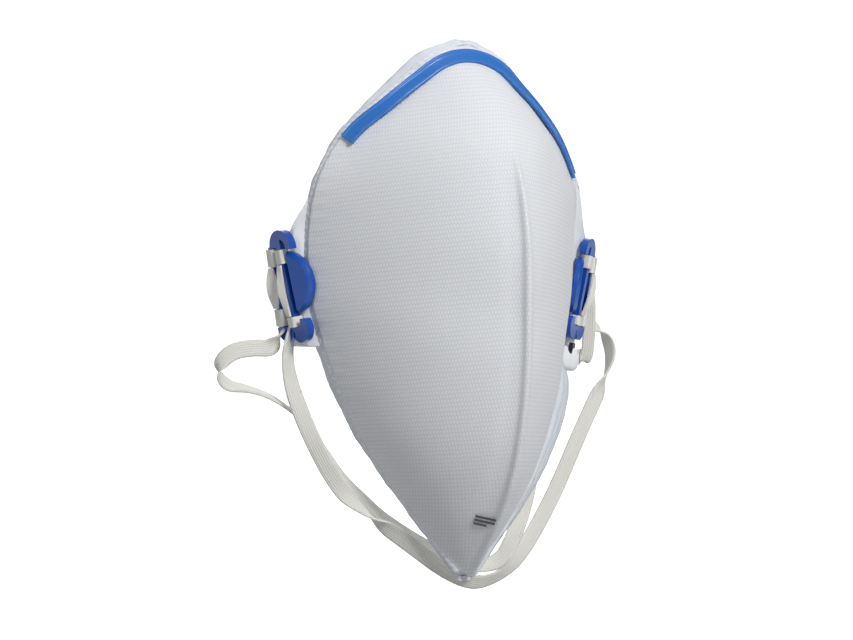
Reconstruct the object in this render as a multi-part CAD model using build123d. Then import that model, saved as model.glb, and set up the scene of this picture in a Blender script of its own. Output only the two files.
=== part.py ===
from build123d import *
import math
import os

os.makedirs("parts", exist_ok=True)

# ---------------------------------------------------------------- dimensions, mm
# Axes: +X to the wearer's left as worn (right of the mask seen from the front),
# -Y forwards, out of the face, +Z up. Origin: centre of the face opening.

# Stations from the nose tip to the chin tip.
# Front line of the mask: (forward reach, height)
FRONT = [(3.0, 98.0), (6.0, 91.6), (14.5, 83.6), (25.5, 72.0), (35.0, 57.5), (40.2, 42.0), (43.5, 23.0),
         (44.0, 2.0), (43.5, -20.0), (40.0, -41.0), (33.5, -59.0), (24.5, -74.0), (13.5, -87.0), (4.0, -97.0)]
# Welded side edge: (half width, depth behind the nose-chin line, height)
EDGE = [(5.0, -2.5, 97.0), (15.0, -3.8, 92.2), (25.6, -1.6, 83.5), (35.6, 0.4, 75.0), (46.4, 5.0, 64.5),
        (55.2, 8.6, 48.0), (57.4, 12.8, 30.0), (56.6, 14.2, 9.0), (52.0, 14.0, -9.0), (45.5, 12.8, -27.0),
        (37.2, 10.2, -45.5), (28.0, 5.6, -62.0), (16.5, 1.0, -79.0), (3.4, -2.4, -96.0)]
# Half angle by which the front line is creased, degrees off flat
CREASE = [0, 0, 0, 2, 8, 17, 22, 25, 26, 26, 25, 24, 20, 12]
# Fullness of each panel at its edge, degrees past the chord
FULL = [0, -5, -9, -8, 0, 8, 12, 13, 16, 22, 27, 27, 22, 12]

OUTER_T = 0.6        # outer fabric
FILTER_T = 1.0       # filter fleece
LINING_T = 0.4       # inner lining
LAYER_GAP = 0.06
MID_GAP = 0.15       # each half stops this far from the centre plane

WELD_W = 2.4         # stitched-looking weld band along the side edge
FLANGE_T = 0.8

CLIP_W = 5.6         # nose clip strip
CLIP_T = 1.3
CLIP_RIM = 1.1       # width of each raised rim
CLIP_RIM_H = 0.5
CLIP_LIFT = 1.65      # the strip's back above the fabric at its centre line

RIDGE_W = 2.0        # front weld rib
RIDGE_T = 0.8

BUCKLE_T = 2.8
PLATE_W = 9.5
PLATE_H = 23.5
BAR_W = 2.6
STRAP_W = 7.0
STRAP_T = 1.0
CORD_D = 3.0         # plain round stand-in for the 7 x 1 strap

FOLD_Y = -38.0       # fold axis, in front of the face


def v(a, b, c):
    return Vector(a, b, c)


def chord_point(k, t, side=1):
    """A point of the panel at station k, t from 0 at the front line to 1 at the edge."""
    p, zr = FRONT[k]
    w, d, zs = EDGE[k]
    dx, dy = w, d + p
    c = math.hypot(dx, dy)
    th = math.atan2(dy, dx)
    a0 = math.radians(CREASE[k])
    a1 = th + math.radians(FULL[k])
    h = 0.37 * c
    p0 = (0.0, -p)
    p1 = (h * math.cos(a0), -p + h * math.sin(a0))
    p3 = (w, d)
    p2 = (w - h * math.cos(a1), d - h * math.sin(a1))
    q = 1 - t
    x = q**3 * p0[0] + 3 * q * q * t * p1[0] + 3 * q * t * t * p2[0] + t**3 * p3[0]
    y = q**3 * p0[1] + 3 * q * q * t * p1[1] + 3 * q * t * t * p2[1] + t**3 * p3[1]
    z = zr + (zs - zr) * t * t * (3 - 2 * t)
    return Vector(side * x, y, z)


NT = 9


def panel_grid(side=1):
    return [[chord_point(k, j / (NT - 1), side) for j in range(NT)] for k in range(len(FRONT))]


def frames(grid, side=1):
    """Outward normal and tangent away from the front line at each grid point."""
    nk, nj = len(grid), len(grid[0])
    out = []
    for k in range(nk):
        row = []
        for j in range(nj):
            down = grid[min(k + 1, nk - 1)][j] - grid[max(k - 1, 0)][j]
            across = grid[k][min(j + 1, nj - 1)] - grid[k][max(j - 1, 0)]
            n = down.cross(across) * side
            n = n.normalized()
            row.append((n, across.normalized()))
        out.append(row)
    return out


def offset_grid(grid, depth, side=1, mid=MID_GAP):
    fr = frames(grid, side)
    out = []
    for k, row in enumerate(grid):
        new = []
        for j, pt in enumerate(row):
            n, t = fr[k][j]
            q = pt - n * depth
            if j == 0:
                tx = t.X * side
                s = (mid - q.X * side) / max(tx, 0.3)
                q = q + t * s
                q = Vector(mid * side, q.Y, q.Z)
            new.append(q)
        out.append(new)
    return out


def grid_solid(a, b):
    """A closed solid between two grids of points of the same shape."""
    fa = Face.make_surface_from_array_of_points(a, tol=0.01, min_deg=3, max_deg=3)
    fb = Face.make_surface_from_array_of_points(b, tol=0.01, min_deg=3, max_deg=3)

    def edge_near(face, p, q):
        best = None
        for e in face.edges():
            s, t = e.position_at(0), e.position_at(1)
            m = min((s - p).length + (t - q).length, (s - q).length + (t - p).length)
            if best is None or m < best[0]:
                best = (m, e)
        return best[1]

    corners = [((0, 0), (0, -1)), ((0, -1), (-1, -1)), ((-1, -1), (-1, 0)), ((-1, 0), (0, 0))]
    sides = []
    for (i, j), (m, n) in corners:
        ea = edge_near(fa, a[i][j], a[m][n])
        eb = edge_near(fb, b[i][j], b[m][n])
        sides.append(Face.make_surface_from_curves(ea, eb))
    shell = Shell(Face.sew_faces([fa, fb] + sides)[0])
    s = Solid(shell)
    if s.volume < 0:
        s = Solid(shell.wrapped.Reversed())
    return s


def save(shape, name):
    s = shape
    if isinstance(s, (list, ShapeList)):
        s = Compound(children=list(s)) if len(s) > 1 else s[0]
    export_step(s, "parts/%s.step" % name)
    bb = s.bounding_box()
    print("%-24s vol %9.2f  solids %d valid %s  box %.1f..%.1f %.1f..%.1f %.1f..%.1f" % (
        name, s.volume, len(s.solids()), s.is_valid,
        bb.min.X, bb.max.X, bb.min.Y, bb.max.Y, bb.min.Z, bb.max.Z))


# ---------------------------------------------------------------- fabric layers
D1 = OUTER_T
D2 = D1 + LAYER_GAP
D3 = D2 + FILTER_T
D4 = D3 + LAYER_GAP
D5 = D4 + LINING_T
for side, word in ((-1, "left"), (1, "right")):
    g = panel_grid(side)
    o = [offset_grid(g, d, side) for d in (0.0, D1, D2, D3, D4, D5)]
    save(grid_solid(o[0], o[1]), word + "_outer_shell")
    save(grid_solid(o[2], o[3]), word + "_filter_layer")
    save(grid_solid(o[4], o[5]), word + "_inner_lining")


# ---------------------------------------------------------------- edge weld and face seal flange
def edge_dir(k, side, angle_out):
    """Direction of the flange: angle_out degrees from straight back, towards the outside of the edge."""
    k0, k1 = max(k - 1, 0), min(k + 1, len(EDGE) - 1)
    tx, tz = EDGE[k1][0] - EDGE[k0][0], EDGE[k1][2] - EDGE[k0][2]
    ln = math.hypot(tx, tz)
    o = Vector(side * -tz / ln, 0, tx / ln)
    a = math.radians(angle_out)
    return o * math.sin(a) + Vector(0, 1, 0) * math.cos(a)


# how far the flange turns outwards at each station, degrees from straight back
LEFT_OUT = [52, 50, 44, 30, 10, 0, -5, -5, 10, 18, 20, 20, 30, 50]
RIGHT_OUT = [52, 42, 28, 24, 40, 64, 42, 42, 56, 88, 92, 86, 78, 66]
LEFT_W = [3.2, 4.0, 4.2, 3.6, 2.6, 2.2, 2.2, 2.8, 4.4, 4.6, 4.0, 2.8, 1.8, 1.6]
RIGHT_W = [3.2, 3.6, 3.8, 4.0, 4.2, 5.4, 5.2, 5.0, 7.0, 12.2, 12.6, 10.4, 6.8, 3.4]

total_t = D5
for side, word, outs, wide in ((-1, "left", LEFT_OUT, LEFT_W), (1, "right", RIGHT_OUT, RIGHT_W)):
    g = panel_grid(side)
    fr = frames(g, side)
    wa, wb, fa, fb = [], [], [], []
    for k in range(len(FRONT)):
        n, t = fr[k][-1]
        base = g[k][-1] + t * 0.22
        inner = base - n * total_t
        d = edge_dir(k, side, outs[k])
        nxt = (t + d).normalized()
        tip = base + nxt * WELD_W
        # the weld presses the layers down to about half their height
        flat = n + 0 * t
        k0, k1 = max(k - 1, 0), min(k + 1, len(FRONT) - 1)
        tan = (g[k1][-1] - g[k0][-1]).normalized()
        tipn = d.cross(tan).normalized()
        if tipn.dot(n) < 0:
            tipn = tipn * -1
        mid_o = base + nxt * (WELD_W * 0.5) - n * 0.25
        mid_i = inner + nxt * (WELD_W * 0.5) + n * 0.35
        tip_o = tip - n * 0.55
        tip_i = tip - n * (total_t - 0.55)
        wa.append([base, mid_o, tip_o])
        wb.append([inner, mid_i, tip_i])
        fw = wide[k]
        mid_t = (tip_o + tip_i) * 0.5 + nxt * 0.4
        fn = (tipn + n).normalized()
        f0 = mid_t + fn * (FLANGE_T / 2)
        g0 = mid_t - fn * (FLANGE_T / 2)
        f1 = mid_t + (nxt + d).normalized() * (fw * 0.5) + tipn * (FLANGE_T / 2)
        g1 = mid_t + (nxt + d).normalized() * (fw * 0.5) - tipn * (FLANGE_T / 2)
        f2 = mid_t + (nxt + d).normalized() * (fw * 0.5) + d * (fw * 0.5) + tipn * (FLANGE_T / 2)
        g2 = mid_t + (nxt + d).normalized() * (fw * 0.5) + d * (fw * 0.5) - tipn * (FLANGE_T / 2)
        fa.append([f0, f1, f2])
        fb.append([g0, g1, g2])

    def three_to_five(rows):
        out = []
        for a, b, c in rows:
            out.append([a, a * 0.375 + b * 0.75 - c * 0.125, b, c * 0.375 + b * 0.75 - a * 0.125, c])
        return out

    save(grid_solid(three_to_five(wa), three_to_five(wb)), word + "_edge_weld")
    save(grid_solid(three_to_five(fa), three_to_five(fb)), word + "_seal_flange")

# ---------------------------------------------------------------- front weld rib
rows_a, rows_b = [], []
for k in range(4, len(FRONT)):
    p, z = FRONT[k]
    k0, k1 = max(k - 1, 0), min(k + 1, len(FRONT) - 1)
    tx, tz = -(FRONT[k1][0] - FRONT[k0][0]), FRONT[k1][1] - FRONT[k0][1]
    ln = math.hypot(tx, tz)
    ny, nz = tz / ln, -tx / ln      # forward normal in the centre plane
    if ny > 0:
        ny, nz = -ny, -nz
    a, b = [], []
    for i in range(5):
        x = RIDGE_W * (i / 4 - 0.5)
        bow = RIDGE_T * (1 - 0.35 * (2 * x / RIDGE_W) ** 2)
        b.append(Vector(x, -p + ny * 0.22, z + nz * 0.22))
        a.append(Vector(x, -p + ny * (0.22 + bow), z + nz * (0.22 + bow)))
    rows_a.append(a)
    rows_b.append(b)
save(grid_solid(rows_a, rows_b), "front_weld")


# ---------------------------------------------------------------- surface at any place
def spline(table, s):
    """Catmull-Rom through the stations."""
    n = len(table) - 1
    s = min(max(s, 0.0), n - 1e-9)
    i = int(s)
    f = s - i
    p0, p1, p2, p3 = table[max(i - 1, 0)], table[i], table[i + 1], table[min(i + 2, n)]

    def cr(a, b, c, d):
        return 0.5 * (2 * b + (c - a) * f + (2 * a - 5 * b + 4 * c - d) * f * f + (3 * b - a - 3 * c + d) * f**3)

    if isinstance(p1, tuple):
        return tuple(cr(*q) for q in zip(p0, p1, p2, p3))
    return cr(p0, p1, p2, p3)


def surf(s, t, side=1):
    p, zr = spline(FRONT, s)
    w, d, zs = spline(EDGE, s)
    dx, dy = w, d + p
    c = math.hypot(dx, dy)
    th = math.atan2(dy, dx)
    a0 = math.radians(spline(CREASE, s))
    a1 = th + math.radians(spline(FULL, s))
    h = 0.37 * c
    p1 = (h * math.cos(a0), -p + h * math.sin(a0))
    p2 = (w - h * math.cos(a1), d - h * math.sin(a1))
    q = 1 - t
    x = 3 * q * q * t * p1[0] + 3 * q * t * t * p2[0] + t**3 * w
    y = q**3 * -p + 3 * q * q * t * p1[1] + 3 * q * t * t * p2[1] + t**3 * d
    return Vector(side * x, y, zr + (zs - zr) * t * t * (3 - 2 * t))


def surf_normal(s, t, side=1):
    e = 0.02
    t0, t1 = max(t - e, 0.001), min(t + e, 1)
    s0, s1 = max(s - 0.05, 0), min(s + 0.05, len(FRONT) - 1.001)
    across = surf(s, t1, side) - surf(s, t0, side)
    down = surf(s1, t, side) - surf(s0, t, side)
    return (down.cross(across) * side).normalized()


# ---------------------------------------------------------------- nose clip
# Runs just inside the top edge, from one cheek over the nose to the other cheek.
CLIP_IN = 3.3        # centre line to the welded edge
CLIP_LEFT_END, CLIP_RIGHT_END = 4.25, 4.75


def clip_centre(s, side):
    """The point CLIP_IN inside the edge, square to it, and the normal there."""
    along = (surf(s + 0.1, 1.0, side) - surf(s - 0.1, 1.0, side)).normalized()
    inwards = (surf(s, 0.9, side) - surf(s, 1.0, side)).normalized()
    need = CLIP_IN / max(along.cross(inwards).length, 0.45)
    t, run, last = 1.0, 0.0, surf(s, 1.0, side)
    while t > 0.01 and run < need:
        t -= 0.004
        here = surf(s, t, side)
        run += (here - last).length
        last = here
    return last, surf_normal(s, max(t, 0.03), side)


def on_surface(x, z, side):
    """The place on the panel at a given x and z."""
    s, t, ds, dt = 0.8, 0.4, 0.6, 0.4
    for _ in range(14):
        best = min(((surf(s + i * ds / 3, min(max(t + j * dt / 3, 0.001), 1), side), s + i * ds / 3,
                     min(max(t + j * dt / 3, 0.001), 1)) for i in range(-3, 4) for j in range(-3, 4)
                    if s + i * ds / 3 > 0.02),
                   key=lambda q: abs(q[0].X * side - x) + abs(q[0].Z - z))
        s, t, ds, dt = best[1], best[2], ds * 0.6, dt * 0.6
    return best[0], surf_normal(s, max(t, 0.03), side)


def even(points, count):
    """Points spaced evenly along a run of points, after light smoothing."""
    pts = [p for p in points]
    for _ in range(1):
        pts = [pts[0]] + [(pts[i - 1] + pts[i] * 2 + pts[i + 1]) * 0.25 for i in range(1, len(pts) - 1)] + [pts[-1]]
    acc = [0.0]
    for i in range(1, len(pts)):
        acc.append(acc[-1] + (pts[i] - pts[i - 1]).length)
    out = []
    j = 0
    for i in range(count):
        want = acc[-1] * i / (count - 1)
        while j < len(acc) - 2 and acc[j + 1] < want:
            j += 1
        f = (want - acc[j]) / max(acc[j + 1] - acc[j], 1e-9)
        out.append((pts[j] + (pts[j + 1] - pts[j]) * f, j + f))
    return out, acc[-1]


raw = []
STEP = 0.25
s0 = CLIP_LEFT_END
while s0 > 1.2:
    raw.append(clip_centre(s0, -1))
    s0 -= STEP
raw.append(on_surface(6.5, 92.6, -1))
mid_p, mid_n = on_surface(0.0, 93.6, 1)
raw.append((Vector(0, mid_p.Y, mid_p.Z), Vector(0, mid_n.Y, mid_n.Z).normalized()))
raw.append(on_surface(6.5, 92.6, 1))
s0 = 1.25
while s0 < CLIP_RIGHT_END + 0.01:
    raw.append(clip_centre(s0, 1))
    s0 += STEP
centres, clip_run = even([p for p, _ in raw], 26)
norms = [n for _, n in raw]
for _ in range(4):
    norms = [norms[0]] + [(norms[i - 1] + norms[i] * 2 + norms[i + 1]).normalized()
                          for i in range(1, len(norms) - 1)] + [norms[-1]]
path = []
for p, at in centres:
    i = min(int(at), len(norms) - 2)
    path.append((p, (norms[i] * (1 - at + i) + norms[i + 1] * (at - i)).normalized()))
clip_rows_a, clip_rows_b = [], []
clip_len = 0.0
NC = 13
for i, (c, n) in enumerate(path):
    a, b = path[max(i - 1, 0)][0], path[min(i + 1, len(path) - 1)][0]
    tan = (b - a).normalized()
    n = (n - tan * n.dot(tan)).normalized()
    acr = tan.cross(n).normalized()
    if i:
        clip_len += (c - path[i - 1][0]).length
    ra, rb = [], []
    for j in range(NC):
        y = CLIP_W * (j / (NC - 1) - 0.5)
        from_edge = CLIP_W / 2 - abs(y)
        rim = CLIP_RIM_H * (1 if from_edge < CLIP_RIM * 0.85 else (0.45 if from_edge < CLIP_RIM * 1.3 else 0))
        if from_edge < 0.2:
            rim = CLIP_RIM_H * 0.6
        rb.append(c + acr * y + n * CLIP_LIFT)
        ra.append(c + acr * y + n * (CLIP_LIFT + CLIP_T - CLIP_RIM_H + rim))
    clip_rows_a.append(ra)
    clip_rows_b.append(rb)
print("nose clip length %.1f" % clip_len)
save(grid_solid(clip_rows_a, clip_rows_b), "nose_clip")


# ---------------------------------------------------------------- buckles and wings
SPREAD = 9.7          # the buckles lean apart towards the top, degrees
NOD = 2.5             # and a little forwards
PLATE_AT = {-1: (-62.3, 19.3, 10.0), 1: (61.8, 17.6, 10.0)}
FRAME_AT = {-1: (-61.9, 18.8, 10.0), 1: (63.7, 16.7, 10.0)}
PLATE_AZ = {-1: 62.0, 1: 57.0}      # each plate faces this far round from the front
FRAME_AZ = {-1: 78.0, 1: 39.0}      # the frame behind it is bent back, or flared


def buckle_plane(side, az, out=0.0, at=None):
    """Local x forwards along the cheek, local z outwards, local y up (left) or down (right)."""
    a = math.radians(az)
    up = Vector(side * math.tan(math.radians(SPREAD)), -math.tan(math.radians(NOD)), 1).normalized()
    n = Vector(side * math.sin(a), -math.cos(a), 0)
    n = (n - up * n.dot(up)).normalized()
    f2 = n.cross(up) * side
    o = Vector(*(at or FRAME_AT)[side]) + n * out
    return Plane(origin=o, x_dir=f2, z_dir=n)


def place(side, az, sk, thick, out=0.0, at=None, bevel=0.0):
    """Extrude a sketch drawn as x forwards, y up, on the buckle's plane, centred on its thickness."""
    pl = buckle_plane(side, az, out, at)
    if side > 0:
        sk = mirror(sk, about=Plane.XZ)
    body = extrude(sk, amount=thick / 2, both=True)
    if bevel:
        rim = [e for e in body.edges() if e.geom_type != GeomType.LINE and e.center().Z > thick / 2 - 0.01]
        body = chamfer(rim, bevel)
    return pl * body


def soften(body, r):
    for rad in (r, r * 0.7, r * 0.4):
        try:
            out = fillet(body.edges(), rad)
            if out.is_valid and len(out.solids()) == 1:
                return out
        except Exception:
            pass
    return body


def rect(x0, x1, y0, y1):
    return Pos((x0 + x1) / 2, (y0 + y1) / 2) * Rectangle(x1 - x0, y1 - y0)


OUT_BAR = -6.9        # centre of the outer bar, behind the plate's straight edge
IN_TOP, IN_LOW = -2.0, 0.9    # the inner bar leans forwards as it goes down
BAR_TOP, BAR_LOW = 15.0, -17.0
ARCH_C = (-0.9, 13.2)
PLATE_T = 3.4


def in_bar(y):
    return IN_TOP + (IN_LOW - IN_TOP) * (BAR_TOP - y) / (BAR_TOP - BAR_LOW)


LEAN = math.degrees(math.atan2(IN_LOW - IN_TOP, BAR_TOP - BAR_LOW))

for side, word in ((-1, "left"), (1, "right")):
    # half-oval face plate, bevelled round its curved edge
    r = PLATE_H / 2
    d = scale(Circle(r), by=(PLATE_W * 1.2 / r, 1, 1)) & rect(2.7, 30, -30, 30)
    d = Rot(0, 0, LEAN) * d
    try:
        plate = place(side, PLATE_AZ[side], d, PLATE_T, at=PLATE_AT, bevel=1.3)
    except Exception:
        print("plain plate")
        plate = place(side, PLATE_AZ[side], d, PLATE_T, at=PLATE_AT)
    save(soften(plate, 0.35), word + "_buckle_plate")

    # frame: two bars, the arched top hook, the lower lobe and the lower hook
    arch = (Pos(*ARCH_C) * Circle(6.3)) - (Pos(ARCH_C[0] + 0.4, ARCH_C[1]) * Circle(2.8))
    arch = arch & rect(-20, 20, ARCH_C[1] - 0.2, 40)
    fr = arch + rect(2.4, 5.38, 12.5, 13.2)
    fr += rect(OUT_BAR - BAR_W / 2, OUT_BAR + BAR_W / 2, -17.5, 13.4)
    inner = Pos((in_bar(0.5) - 0.0), 0.5) * (Rot(0, 0, LEAN) * Rectangle(BAR_W, 35.0))
    fr += inner
    lobe = (Pos(-4.2, -16.4) * Circle(5.0)) & rect(-20, 20, -40, -16.1)
    fr += lobe
    hook = (Pos(4.0, -16.2) * Circle(5.3)) - (Pos(3.6, -14.4) * Circle(1.6)) - rect(-2, 5.2, -14.4, -5)
    hook = hook & (rect(-20, 2.9, -40, -16.1) + rect(2.8, 20, -40, -12.8))
    fr += hook
    fr -= rect(0.35, 1.15, -40, -17.8)
    frame = place(side, FRAME_AZ[side], fr, BUCKLE_T)
    frame = frame.solids().sort_by(lambda q: q.volume)[-1]
    # clear of the plate
    clear = place(side, PLATE_AZ[side], d, PLATE_T + 0.6, at=PLATE_AT)
    frame = (frame - clear).solids().sort_by(lambda q: q.volume)[-1]
    save(soften(frame, 0.6), word + "_buckle_frame")

    # wing: thin smooth tab behind the buckle
    if side < 0:
        pts = [(-7.5, -17.0), (0.15, -17.0), (0.15, 12.4), (9.0, 13.4), (9.4, 24.6), (7.5, 25.0), (2.6, 21.4),
               (1.2, 14.5), (-7.5, 13.5)]
    else:
        pts = [(-13.5, -30.0), (-3.2, -30.0), (-3.2, -10.0), (0.15, -4.0), (0.15, 13.0), (3.0, 16.0), (3.0, 31.0),
               (1.0, 31.6), (-6.0, 26.0), (-11.5, 24.0), (-14.5, 20.0)]
    wing = make_face(Polyline(*pts, close=True))
    wing = place(side, FRAME_AZ[side], wing, 0.9, out=-(BUCKLE_T / 2 + 1.02 + 0.15 + 0.45))
    for rad in (1.2, 0.7):
        try:
            corners = [e for e in wing.edges() if abs(e.length - 0.9) < 0.01]
            wing = fillet(corners, rad)
            break
        except Exception:
            pass
    if side > 0:
        # its lower end is rolled into a rounded lump
        lump = extrude(Pos(-7.8, -29.2) * RectangleRounded(11.6, 9.4, 3.8), amount=2.6, both=True)
        lump = soften(lump, 1.2)
        flip = buckle_plane(side, FRAME_AZ[side], -4.9)
        wing = wing + flip * (Rot(180, 0, 0) * lump)
    save(wing, word + "_side_wing")

    # strap turns round the bars
    def turn(bar, y0, y1, lean=0.0):
        w2, t2 = BAR_W + 0.24, BUCKLE_T + 0.24
        o = Box(w2 + 1.64, y1 - y0, t2 + 1.8)
        o = fillet(o.edges().filter_by(Axis.Y), 1.2)
        o = o - Box(w2, y1 - y0 + 2, t2)
        yc = (y0 + y1) / 2
        up = 1 if side < 0 else -1
        o = Pos(bar, up * yc, 0) * (Rot(0, 0, up * lean) * o)
        return buckle_plane(side, FRAME_AZ[side]) * o

    save(turn(OUT_BAR, 6.2, 12.6), word + "_strap_turn_upper_outer")
    save(turn(in_bar(9.75), 7.2, 12.3, LEAN), word + "_strap_turn_upper_inner")
    save(turn(OUT_BAR, -15.6, -9.4), word + "_strap_turn_lower_outer")
    save(turn(in_bar(-13.9), -15.9, -12.2, LEAN), word + "_strap_turn_lower_inner")

    # slack runs of strap that bow outwards between the upper and the lower turns
    def run(x0, x1, y0, y1, bow, back, w0, w1, twist):
        pl = buckle_plane(side, FRAME_AZ[side])
        up = 1 if side < 0 else -1
        ra, rb = [], []
        nr = 9
        for i in range(nr):
            q = i / (nr - 1)
            lift = math.sin(math.pi * q)
            cx = x0 + (x1 - x0) * q - back * lift
            cy = y0 + (y1 - y0) * q
            cz = BUCKLE_T / 2 + 1.0 + bow * lift
            ang = math.radians(twist * lift)
            w = w0 + (w1 - w0) * lift
            wx, wz = math.cos(ang), -math.sin(ang)
            nx, nz = math.sin(ang), math.cos(ang)
            a, b = [], []
            for j in range(5):
                e = w * (j / 4 - 0.5)
                for lst, h in ((a, 0.4), (b, -0.4)):
                    lst.append(pl.from_local_coords(Vector(cx + wx * e + nx * h, up * cy, cz + wz * e + nz * h)))
            ra.append(a)
            rb.append(b)
        return grid_solid(ra, rb)

    if side < 0:
        save(run(OUT_BAR, OUT_BAR, 5.9, -9.0, 0.9, -0.7, 2.2, 4.4, 30), "left_strap_run_outer")
        save(run(in_bar(7.0), in_bar(-11.6), 6.9, -11.8, 0.9, 0.2, 1.8, 2.6, 30), "left_strap_run_inner")
    else:
        save(run(OUT_BAR, in_bar(-11.6) - 1.2, 5.9, -11.6, 1.2, 0.0, 2.4, 3.4, 20), "right_strap_run_cross")


# ---------------------------------------------------------------- right-hand strap end
pl = buckle_plane(1, FRAME_AZ[1])


def strip(points, width_dir, width, thick):
    """A flat strap along points, its width along width_dir."""
    rows_a, rows_b = [], []
    for i, p in enumerate(points):
        t = (points[min(i + 1, len(points) - 1)] - points[max(i - 1, 0)]).normalized()
        n = t.cross(width_dir).normalized()
        a, b = [], []
        for j in range(4):
            e = width_dir * (width * (j / 3 - 0.5))
            a.append(p + e + n * (thick / 2))
            b.append(p + e - n * (thick / 2))
        rows_a.append(a)
        rows_b.append(b)
    return grid_solid(rows_a, rows_b)


# the tail drops behind the wing and turns up again below it
wdir = pl.x_dir.normalized()
wdir = Vector(wdir.X, wdir.Y, 0).normalized()
back = Vector(-pl.z_dir.X, -pl.z_dir.Y, 0).normalized()
root = Vector(*FRAME_AT[1]) - wdir * 13.8 + back * 0.6
tail = []
for i in range(8):
    q = i / 7
    tail.append(root + Vector(0, 0, 8.0 - 33.5 * q) + back * (0.8 * math.sin(math.pi * q)))
for i in range(1, 8):
    ang = math.pi * i / 7
    tail.append(tail[7] + Vector(0, 0, -4.2 * math.sin(ang)) + back * (2.2 * (1 - math.cos(ang))))
save(strip(tail, wdir, 6.4, 0.9), "right_strap_tail")
# small dark crimp on the strap's end, under the right-hand buckle
crimp = Pos(0, 0, 0) * Box(3.2, 4.4, 1.6)
crimp = fillet(crimp.edges().filter_by(Axis.Z), 0.4)
save(buckle_plane(1, FRAME_AZ[1]) * Pos(0.2, 25.2, 0.4) * crimp, "strap_end_crimp")

# ---------------------------------------------------------------- chin tab and printed mark
tab = Pos(0, 1.2, -98.8) * Box(5.0, 3.2, 1.8)
tab = fillet(tab.edges().filter_by(Axis.Y), 0.8)
save(tab, "chin_tab")
marks = []
MARK_AT = (11.15, 0.16)      # station, way round the left panel
for i, (u0, u1, v0, v1) in enumerate(((-0.7, 3.1, 2.2, 3.1), (-0.7, 3.1, 0.5, 1.4), (-0.7, 1.7, -1.2, -0.3))):
    base, nn = surf(MARK_AT[0], MARK_AT[1], -1), surf_normal(MARK_AT[0], MARK_AT[1], -1)
    acr = (surf(MARK_AT[0], MARK_AT[1] + 0.03, -1) - surf(MARK_AT[0], MARK_AT[1] - 0.03, -1)).normalized()
    upv = nn.cross(acr).normalized()
    if upv.Z < 0:
        upv = upv * -1
    ra, rb = [], []
    for k in range(4):
        a, b = [], []
        for j in range(4):
            e = base + acr * -(u0 + (u1 - u0) * k / 3) * 2.0 + upv * (v0 + (v1 - v0) * j / 3)
            a.append(e + nn * 0.40)
            b.append(e + nn * 0.25)
        ra.append(a)
        rb.append(b)
    marks.append(grid_solid(ra, rb))
save(marks, "printed_bars")

# ---------------------------------------------------------------- straps
HEAD_ROUTE = [(-64.0, 26.3, -13.8), (-72.0, 27.6, -13.2), (-80.3, 29.6, -14.6), (-84.9, 31.0, -20.6),
              (-82.0, 30.5, -27.0), (-74.0, 29.0, -28.0), (-65.5, 27.2, -31.0), (-54.6, 25.0, -39.0),
              (-46.0, 24.0, -49.4), (-37.3, 22.6, -63.2), (-26.8, 21.2, -74.8), (-16.0, 19.2, -83.0),
              (-6.0, 16.6, -89.5), (4.0, 13.2, -94.4), (13.6, 9.2, -96.8), (20.4, 6.6, -94.6),
              (25.6, 6.8, -86.5), (33.0, 10.4, -75.5), (38.8, 15.0, -63.0), (45.4, 18.6, -51.0),
              (47.6, 21.0, -40.0), (49.2, 24.0, -30.0), (50.6, 27.6, -21.6), (52.2, 31.0, -14.0)]
NECK_ROUTE = [(-61.8, 22.0, -14.2), (-60.6, 20.4, -26.5), (-57.2, 18.6, -37.5), (-53.0, 17.2, -47.6),
              (-48.0, 16.1, -57.6), (-41.0, 15.0, -68.0), (-29.0, 13.6, -77.6), (-15.8, 11.9, -87.0),
              (-4.2, 9.4, -96.4), (7.0, 6.0, -102.4), (18.0, 8.0, -101.8), (27.6, 10.2, -97.4),
              (37.2, 13.0, -88.6), (48.0, 16.0, -75.8), (56.4, 18.1, -63.6), (64.6, 20.2, -50.4),
              (74.2, 22.4, -36.2), (81.8, 24.2, -25.4), (85.0, 25.6, -15.6), (81.5, 28.4, -7.0), (74.8, 31.4, -4.2)]


def tube(route, dia, name):
    pts = [Vector(*p) for p in route]
    radii = []
    for i in range(1, len(pts) - 1):
        a, b = pts[i] - pts[i - 1], pts[i + 1] - pts[i]
        turn = math.radians(a.get_angle(b))
        radii.append(0.45 * min(a.length, b.length) / math.tan(turn / 2))
    line = FilletPolyline(*pts, radius=radii)
    path = line.wire() if hasattr(line, "wire") else line
    body = sweep(Plane(origin=path @ 0, z_dir=path % 0) * Circle(dia / 2), path=path)
    runs = [(pts[i + 1] - pts[i]).length for i in range(len(pts) - 1)]
    print("%s: length %.1f mm, smallest radius %.1f, runs %.1f..%.1f, volume %.1f against %.1f" % (
        name, path.length, min(radii), min(runs), max(runs), body.volume, math.pi * dia * dia / 4 * path.length))
    print("   radii " + " ".join("%.0f" % r for r in radii))
    save(body, name)


tube(HEAD_ROUTE, CORD_D, "head_strap")
tube(NECK_ROUTE, CORD_D, "neck_strap")
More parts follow.
